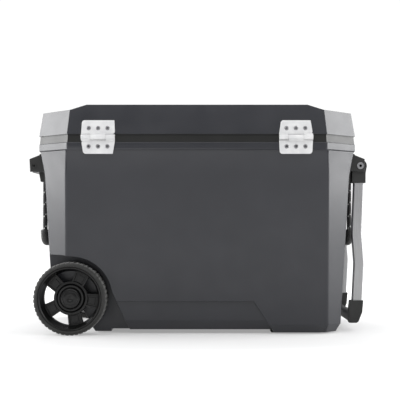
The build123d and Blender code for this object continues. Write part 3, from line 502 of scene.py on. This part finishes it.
# ---- screws ---------------------------------------------------------------------------------------
def islands(shape):
    """The separate shells of a mesh, each as a list of its faces."""
    left, found = set(shape.faces), []
    while left:
        shell, front = [], [left.pop()]
        while front:
            face = front.pop()
            shell.append(face)
            for edge in face.edges:
                for near in edge.link_faces:
                    if near in left:
                        left.remove(near)
                        front.append(near)
        found.append(shell)
    return found


def screw_places(node, towards):
    """Where each screw's head is: the middle of its flat top and the way that it faces."""
    shape = bmesh.new()
    shape.from_mesh(frame["nodes"][node].data)
    bmesh.ops.remove_doubles(shape, verts=shape.verts, dist=0.01 * MM)
    places = []
    for shell in islands(shape):
        top = max(face.calc_center_median().dot(towards) for face in shell)
        flat = [face for face in shell if face.normal.dot(towards) > 0.97
                and top - face.calc_center_median().dot(towards) < 1.2 * MM]
        area = sum(face.calc_area() for face in flat)
        middle = sum((face.calc_center_median() * face.calc_area() for face in flat), Vector()) / area
        places.append((middle, flat[0].normal.copy()))
    shape.free()
    return places


RECESS_ARM, RECESS_SLOT = 0.52, 0.14         # reach and half width of the cross recess, as shares of the head


def cross_reach(angle):
    """How far a cross recess reaches at an angle, as a share of the head's radius."""
    turn = angle % (pi / 2)
    turn = min(turn, pi / 2 - turn)
    return min(RECESS_ARM / cos(turn), RECESS_SLOT / max(sin(turn), 0.01))


def screw_head(shape, middle, facing, radius, height):
    """A domed head with a cross recess, standing on the surface under it."""
    steps = 24
    ring = bmesh.ops.create_circle(shape, cap_ends=True, segments=steps, radius=radius)
    corners = ring["verts"]
    face = next(iter(corners[0].link_faces))
    if face.normal.z < 0:
        face.normal_flip()
    for share, rise in ((1.0, 0.35), (0.93, 0.62), (0.78, 0.86), (0.62, 1.0)):
        face = bmesh.ops.extrude_discrete_faces(shape, faces=[face])["faces"][0]
        for corner in face.verts:
            flat = Vector((corner.co.x, corner.co.y)).normalized() * radius * share
            corner.co = (flat.x, flat.y, height * rise)
        corners = corners + list(face.verts)
    for drop in (0.0, 0.85):
        face = bmesh.ops.extrude_discrete_faces(shape, faces=[face])["faces"][0]
        for index, corner in enumerate(face.verts):
            angle = tau * index / steps
            reach = cross_reach(angle) * radius * (1 - 0.25 * drop)
            flat = Vector((cos(angle), sin(angle))) * reach
            corner.co = (flat.x, flat.y, height * (1 - drop))
        corners = corners + list(face.verts)
    turn = Vector(facing).to_track_quat("Z", "Y").to_matrix().to_4x4()
    bmesh.ops.transform(shape, matrix=Matrix.Translation(middle - facing * height) @ turn, verts=corners)


def make_screws(node, towards, radius, height):
    """Replaces a group of plain screws by heads with a cross recess."""
    shape = bmesh.new()
    for middle, facing in screw_places(node, Vector(towards)):
        screw_head(shape, middle, facing, radius * MM, height * MM)
    bmesh.ops.recalc_face_normals(shape, faces=shape.faces)
    finished(node + "_cross", shape, node, angle=40, weighted=False)


LARGE_HEAD, SMALL_HEAD = (4.6, 1.6), (3.6, 1.4)              # radius and height

make_screws("hinge_lid_screws", (0, -1, 0), *LARGE_HEAD)
make_screws("hinge_body_screws", (0, -1, 0), *LARGE_HEAD)
make_screws("latch_screws", (0, 1, 0), *SMALL_HEAD)
make_screws("bracket_screws_left", (-1, 0, 0), *LARGE_HEAD)
make_screws("bracket_screws_right", (1, 0, 0), *LARGE_HEAD)


# ---- wheels ---------------------------------------------------------------------------------------
TREAD_BLOCKS, TREAD_DEPTH = 48, 1.5


def make_tyre(name, side):
    """A solid tyre whose tread and shoulders are cut into blocks."""
    steps = TREAD_BLOCKS * 4
    profile = [(RIM_R, 160), (71, 159), (75, 160.5), (WHEEL_R, 163.5), (WHEEL_R, 180), (WHEEL_R, 197),
               (WHEEL_R, 208.5), (75.3, 211.6), (72.5, 213.4), (70, WHEEL_OUT), (68.4, 213.6), (RIM_R, 212.6)]
    shape = turned(profile, steps, (0, 0), side)
    for corner in shape.verts:
        radius = Vector((corner.co.x, corner.co.z)).length
        turn = Vector((corner.co.x, corner.co.z)).angle_signed(Vector((1, 0))) % tau
        column = round(steps * turn / tau) % 4
        if column == 0 and radius > 72 * MM:
            share = 1 - TREAD_DEPTH * MM / radius * (radius - 71 * MM) / ((WHEEL_R - 71) * MM)
            corner.co.x *= share
            corner.co.z *= share
    bmesh.ops.translate(shape, verts=shape.verts, vec=(AXLE.x * MM, 0, AXLE.z * MM))
    finished("tyre_" + name, shape, "wheel_tyre_" + name, angle=14, weighted=False)


def make_rim(name, side):
    """A dished wheel: barrel and flange, a stepped hub and five spokes with sunk faces."""
    barrel = [(RIM_R - 0.1, 159), (RIM_R - 0.1, 212), (66.2, 213.2), (63.8, 213.2), (62.8, 212.0),
              (61.5, 203), (58.6, 190), (57.6, 187), (57.6, 174), (61, 168), (63.5, 160.5), (65.5, 159)]
    shape = turned(barrel, 96, (0, 0), side)
    hub = [(8.3, 158), (26, 158), (28, 160), (30, 172), (36.5, 175), (36.5, 186.2), (35.4, 187.4),
           (31, 187.6), (30.2, 189), (28, 192.4), (27, 193), (23.6, 193), (22.6, 192.2), (22.4,
            188), (8.3, 188)]
    hub_shape, hub_mesh = turned(hub, 72, (0, 0), side), bpy.data.meshes.new("hub")
    hub_shape.to_mesh(hub_mesh)
    hub_shape.free()
    shape.from_mesh(hub_mesh)
    bpy.data.meshes.remove(hub_mesh)
    for index in range(SPOKES):
        spoke(shape, radians(SPOKE_TURN + 360 / SPOKES * index), side)
    bmesh.ops.translate(shape, verts=shape.verts, vec=(AXLE.x * MM, 0, AXLE.z * MM))
    finished("rim_" + name, shape, "wheel_rim_" + name, angle=30)


def spoke(shape, angle, side):
    """One spoke: a block with a raised border, a sunk field and a raised pad in the field."""
    inner, outer = 30.0, 59.0
    made = bmesh.ops.create_cube(shape, size=1.0)["verts"]
    bmesh.ops.scale(shape, verts=made, vec=((outer - inner) * MM, SPOKE_DEPTH * MM, SPOKE_WIDTH * MM))
    for corner in made:
        if corner.co.x > 0:
            corner.co.z *= 1.18
    bmesh.ops.translate(shape, verts=made,
                        vec=((inner + outer) / 2 * MM, side * (SPOKE_FACE - SPOKE_DEPTH / 2) * MM, 0))
    faces = {face for corner in made for face in corner.link_faces}
    front = max(faces, key=lambda face: side * face.calc_center_median().y)
    long_edges = [edge for edge in {edge for face in faces for edge in face.edges}
                  if abs((edge.verts[0].co - edge.verts[1].co).normalized().x) > 0.9]
    before = set(shape.faces) - faces
    shape.normal_update()
    for thickness, depth in ((3.6, 0.0), (0.9, -2.6), (2.6, 0.0), (0.6, 1.5)):
        bmesh.ops.inset_region(shape, faces=[front], thickness=thickness * MM, depth=depth * MM,
                               use_even_offset=True)
    rounded = [edge for edge in long_edges if edge.is_valid]
    bmesh.ops.bevel(shape, geom=rounded, offset=0.9 * MM, offset_type="OFFSET", segments=2, profile=0.5,
                    affect="EDGES", clamp_overlap=True, material=-1)
    mine = {corner for face in set(shape.faces) - before for corner in face.verts}
    bmesh.ops.rotate(shape, verts=list(mine), cent=(0, 0, 0), matrix=Matrix.Rotation(-angle, 3, "Y"))


def make_hub_cap(name, side):
    """A domed cap with a ring and a dimple."""
    profile = [(0.001, 188.4), (21.6, 188.4), (21.9, 196.6), (20.8, 199.4), (18.6, 200.6), (16.6, 200.8),
               (15.9, 199.9), (14.6, 199.8), (13.6, 200.6), (9, 200.95), (5.2, 200.7), (4.3, 199.6),
               (0.001, 199.3)]
    shape = turned(profile, 64, (AXLE.x, AXLE.z), side)
    finished("cap_" + name, shape, "hub_cap_" + name, angle=50, weighted=False)


for side, name in ((-1, "back"), (1, "front")):
    make_tyre(name, side)
    make_rim(name, side)
    make_hub_cap(name, side)


# ---- rope handles ---------------------------------------------------------------------------------
ROPE_ROUTE = [(-75, 338), (-75, 256.5), (-75, 195.5), (-14, 195.5), (14, 195.5), (75, 195.5), (75, 256.5),
              (75, 338)]


def route_line(side):
    """Points along the rope's line, read from its smooth curve."""
    data = bpy.data.curves.new("rope_route", "CURVE")
    data.dimensions = "3D"
    spline = data.splines.new("NURBS")
    spline.points.add(len(ROPE_ROUTE) - 1)
    for point, (y, z) in zip(spline.points, ROPE_ROUTE):
        point.co = (side * ROPE_X * MM, y * MM, z * MM, 1)
    spline.order_u = 3
    spline.use_endpoint_u = True
    spline.resolution_u = 24
    curve = bpy.data.objects.new("rope_route", data)
    mesh = bpy.data.meshes.new_from_object(curve)
    points = [corner.co.copy() for corner in mesh.vertices]
    for thing, store in ((curve, bpy.data.objects), (mesh, bpy.data.meshes), (data, bpy.data.curves)):
        store.remove(thing)
    return points


def along_line(points, steps):
    """Evenly spaced places along a line, each with the way that it runs, and the line's length."""
    lengths = [0.0]
    for here, there in zip(points, points[1:]):
        lengths.append(lengths[-1] + (there - here).length)
    places, leg = [], 0
    for step in range(steps + 1):
        goal = lengths[-1] * step / steps
        while leg < len(points) - 2 and lengths[leg + 1] < goal:
            leg += 1
        share = (goal - lengths[leg]) / max(lengths[leg + 1] - lengths[leg], 1e-9)
        places.append(points[leg].lerp(points[leg + 1], share))
    ways = [(places[min(i + 1, steps)] - places[max(i - 1, 0)]).normalized() for i in range(steps + 1)]
    return places, ways, lengths[-1]


def rolled_tube(points, around, along, radius_at):
    """A grid rolled into a tube on a line in a plane across X, with its own map around and along."""
    places, ways, length = along_line(points, along)
    shape = bmesh.new()
    shape.loops.layers.uv.new("UVMap")
    bmesh.ops.create_grid(shape, x_segments=around, y_segments=along, size=0.5, calc_uvs=True)
    for corner in shape.verts:
        u, v = corner.co.x + 0.5, corner.co.y + 0.5
        index = round(v * along)
        out = Vector((1, 0, 0)).cross(ways[index])
        radius = radius_at(u, v * length)
        corner.co = places[index] + (Vector((1, 0, 0)) * cos(tau * u) + out * sin(tau * u)) * radius
    bmesh.ops.remove_doubles(shape, verts=shape.verts, dist=0.01 * MM)
    return shape, length


def braid_radius(u, distance):
    """The rope's radius over its crossing strands."""
    turns = distance / (BRAID_PITCH * MM)
    right, left = (u + turns) * BRAID_STRANDS, (u - turns) * BRAID_STRANDS
    over_right = (int(right // 1) + int(left // 1)) % 2 == 1
    crown = sin(pi * (right % 1)) if over_right else sin(pi * (left % 1))
    return (ROPE_R - 0.55 + 0.53 * crown) * MM


def cap_ends(shape):
    """Closes the open ends of a tube."""
    rims = [edge for edge in shape.edges if edge.is_boundary]
    bmesh.ops.holes_fill(shape, edges=rims, sides=0)
    bmesh.ops.recalc_face_normals(shape, faces=shape.faces)


def make_rope(name, side):
    """The rope from bracket to bracket, through its grip."""
    points = route_line(side)
    shape, length = rolled_tube(points, 36, 520, braid_radius)
    cap_ends(shape)
    piece = finished("rope_" + name, shape, "handle_rope_" + name, angle=60, weighted=False)
    return points


LIP = 2.4                                    # how far from its ends the grip rounds over


def grip_radius(half):
    """The grip's radius along its length: lips at both ends, ring grooves, and finger ribs below."""
    def radius_at(_, distance):
        here = min(distance, 2 * half - distance) / MM
        radius = GRIP_R
        if here <= LIP:
            bore = ROPE_R + 0.35
            radius = bore + (GRIP_R - bore) * (1 - (1 - here / LIP) ** 2) ** 0.5
        if 5 < here < 17 and (here - 5) % 4 < 1.4:
            radius -= 0.9
        if here > 62 and (here - 62) % 9 < 2.2:
            radius -= 0.8
        return radius * MM
    return radius_at


def make_grip(name, side, points):
    """The moulded grip around the lower part of the rope."""
    lower = [point for point in points if point.z <= GRIP_TOP * MM]
    first = Vector((side * ROPE_X * MM, lower[0].y, GRIP_TOP * MM))
    last = Vector((side * ROPE_X * MM, lower[-1].y, GRIP_TOP * MM))
    line = [first, *lower, last]
    length = along_line(line, 10)[2]
    shape, _ = rolled_tube(line, 32, 260, grip_radius(length / 2))
    cap_ends(shape)
    finished("grip_" + name, shape, "rope_grip_" + name, angle=38, weighted=False)


for side, name in ((-1, "left"), (1, "right")):
    make_grip(name, side, make_rope(name, side))

# ---- everything that stays a CAD piece -------------------------------------------------------------
for node, thing in frame["nodes"].items():
    thing.data.materials.clear()
    thing.data.materials.append(FINISHES[SLOT_OF[node]])

make_camera()
make_studio()
